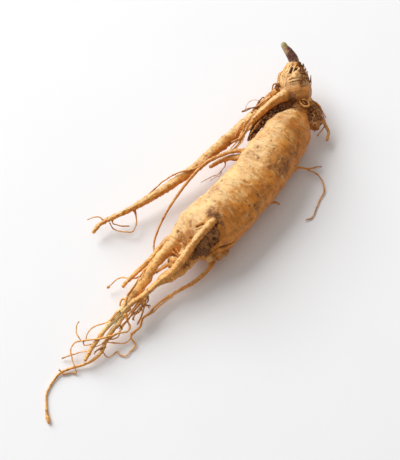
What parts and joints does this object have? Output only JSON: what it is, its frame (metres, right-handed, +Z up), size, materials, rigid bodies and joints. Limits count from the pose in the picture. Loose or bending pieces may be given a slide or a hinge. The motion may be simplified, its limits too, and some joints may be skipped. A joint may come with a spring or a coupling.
{
  "type": "ginseng root",
  "caption": "Fresh ginseng root lying down, with its thick body, knobbly neck, forked legs, side roots and fine rootlets.",
  "frame": {"origin": "on the small flat spot of the belly that the root rests on, under the middle of the body", "axes": "+Z up from the surface it lies on, +Y up the root from its tail to its neck, +X across it"},
  "size_m": [0.0975, 0.2274, 0.0285],
  "materials": {
    "root_skin": "matt, slightly waxy golden tan skin with brown wrinkles",
    "dry_stem": "dry purple brown bark, yellow green at the tip",
    "soil": "dry crumbly dark brown earth"
  },
  "bodies": {
    "root": {"grown_root": "root_skin", "stem_stub": "dry_stem", "soil_cake": "soil"}
  },
  "joints": []
}
